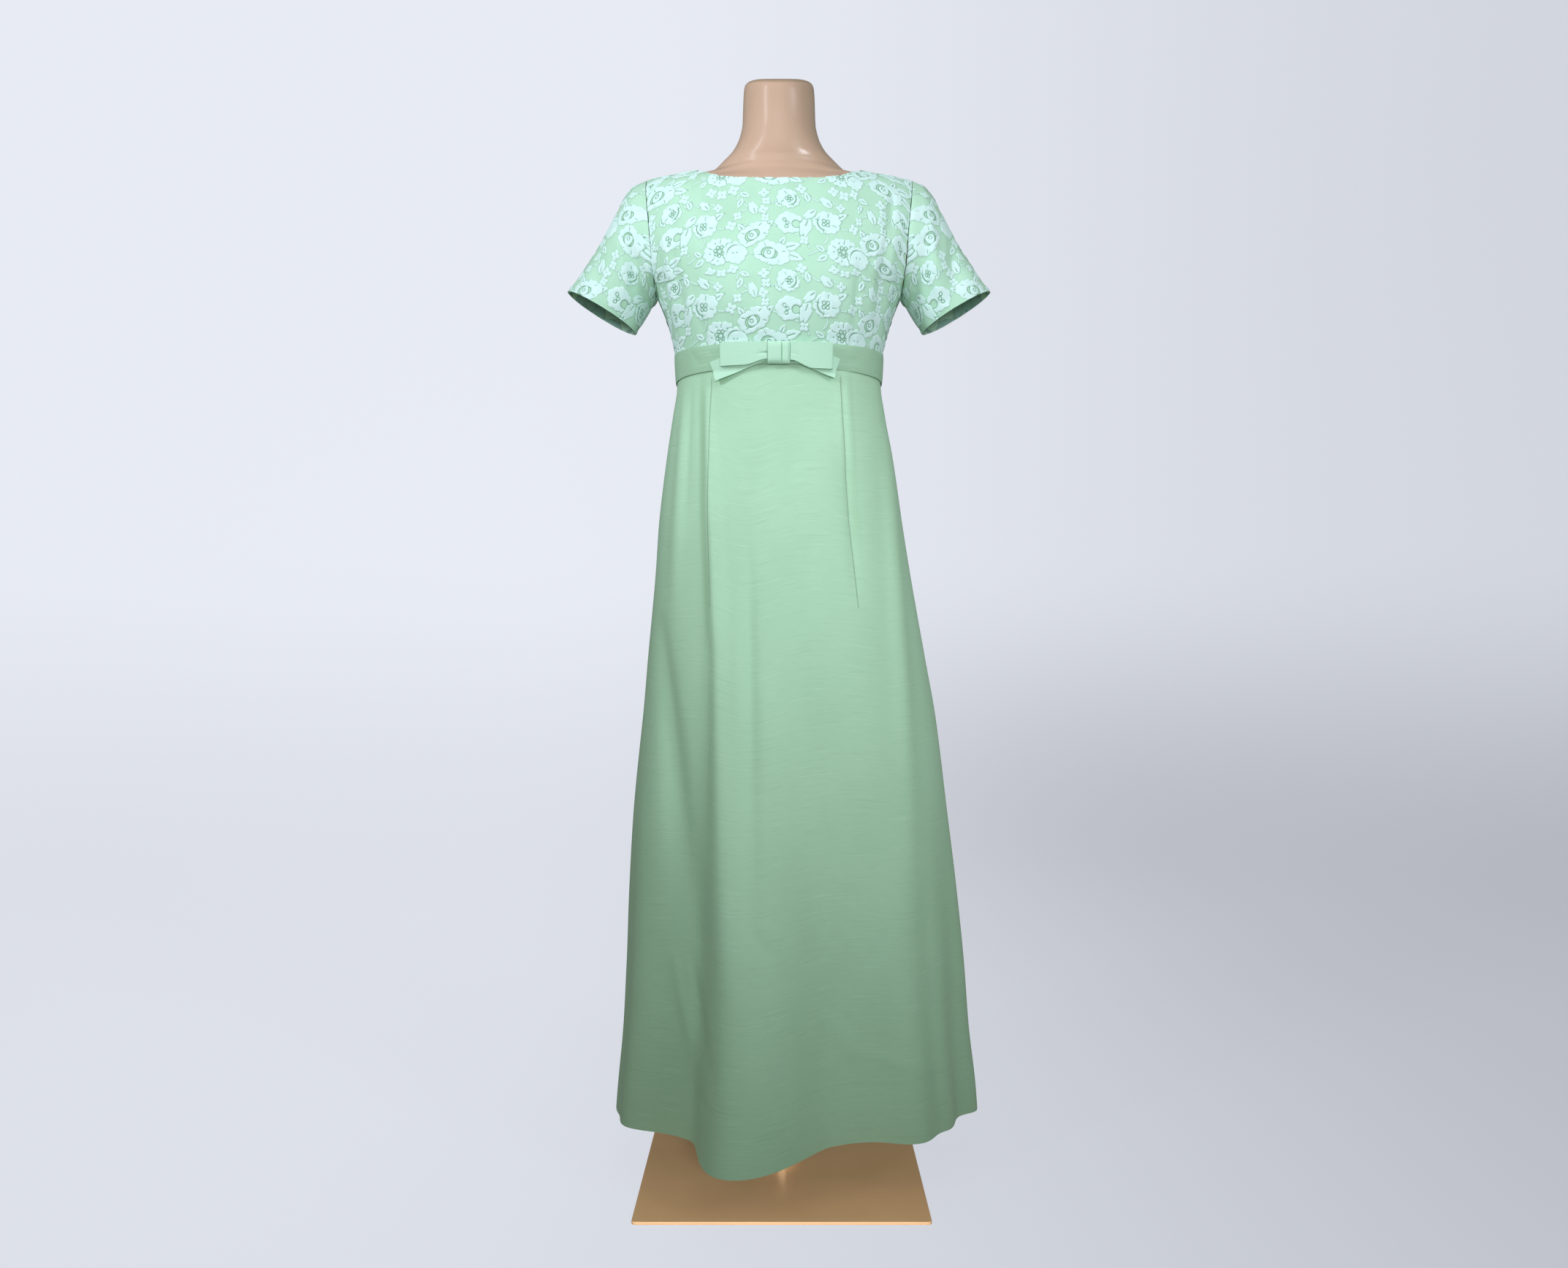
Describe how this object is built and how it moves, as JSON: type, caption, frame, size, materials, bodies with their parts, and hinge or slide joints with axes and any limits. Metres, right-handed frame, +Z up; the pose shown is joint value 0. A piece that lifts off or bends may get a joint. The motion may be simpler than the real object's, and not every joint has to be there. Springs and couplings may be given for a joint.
{
  "type": "evening gown on a dress form",
  "caption": "Full-length empire-line evening gown with lace-covered bodice and short sleeves, flat bow and A-line skirt, on a limbless dress form with a square metal stand.",
  "frame": {"origin": "middle of the base plate's underside", "axes": "+Z up along the pole, -Y towards the gown's front, +X towards the wearer's left"},
  "size_m": [0.5946, 0.4272, 1.5157],
  "materials": {
    "laced_mint_satin": "mint satin under pale aqua floral lace",
    "mint_slub_satin": "soft satin with fine level slubs",
    "tan_gloss_plastic": "smooth gloss",
    "polished_gold_metal": "polished",
    "brushed_bronze_metal": "brushed, bronze toned"
  },
  "bodies": {
    "root": {"bodice_front": "laced_mint_satin", "bodice_back_left": "laced_mint_satin", "bodice_back_right": "laced_mint_satin", "sleeve_left": "laced_mint_satin", "sleeve_right": "laced_mint_satin", "waistband": "mint_slub_satin", "bow_loop_left": "mint_slub_satin", "bow_loop_right": "mint_slub_satin", "bow_tail_left": "mint_slub_satin", "bow_tail_right": "mint_slub_satin", "bow_knot": "mint_slub_satin", "skirt_front": "mint_slub_satin", "skirt_back_left": "mint_slub_satin", "skirt_back_right": "mint_slub_satin", "dress_form": "tan_gloss_plastic", "pole": "polished_gold_metal", "ferrule": "polished_gold_metal", "base_plate": "brushed_bronze_metal"}
  },
  "joints": []
}
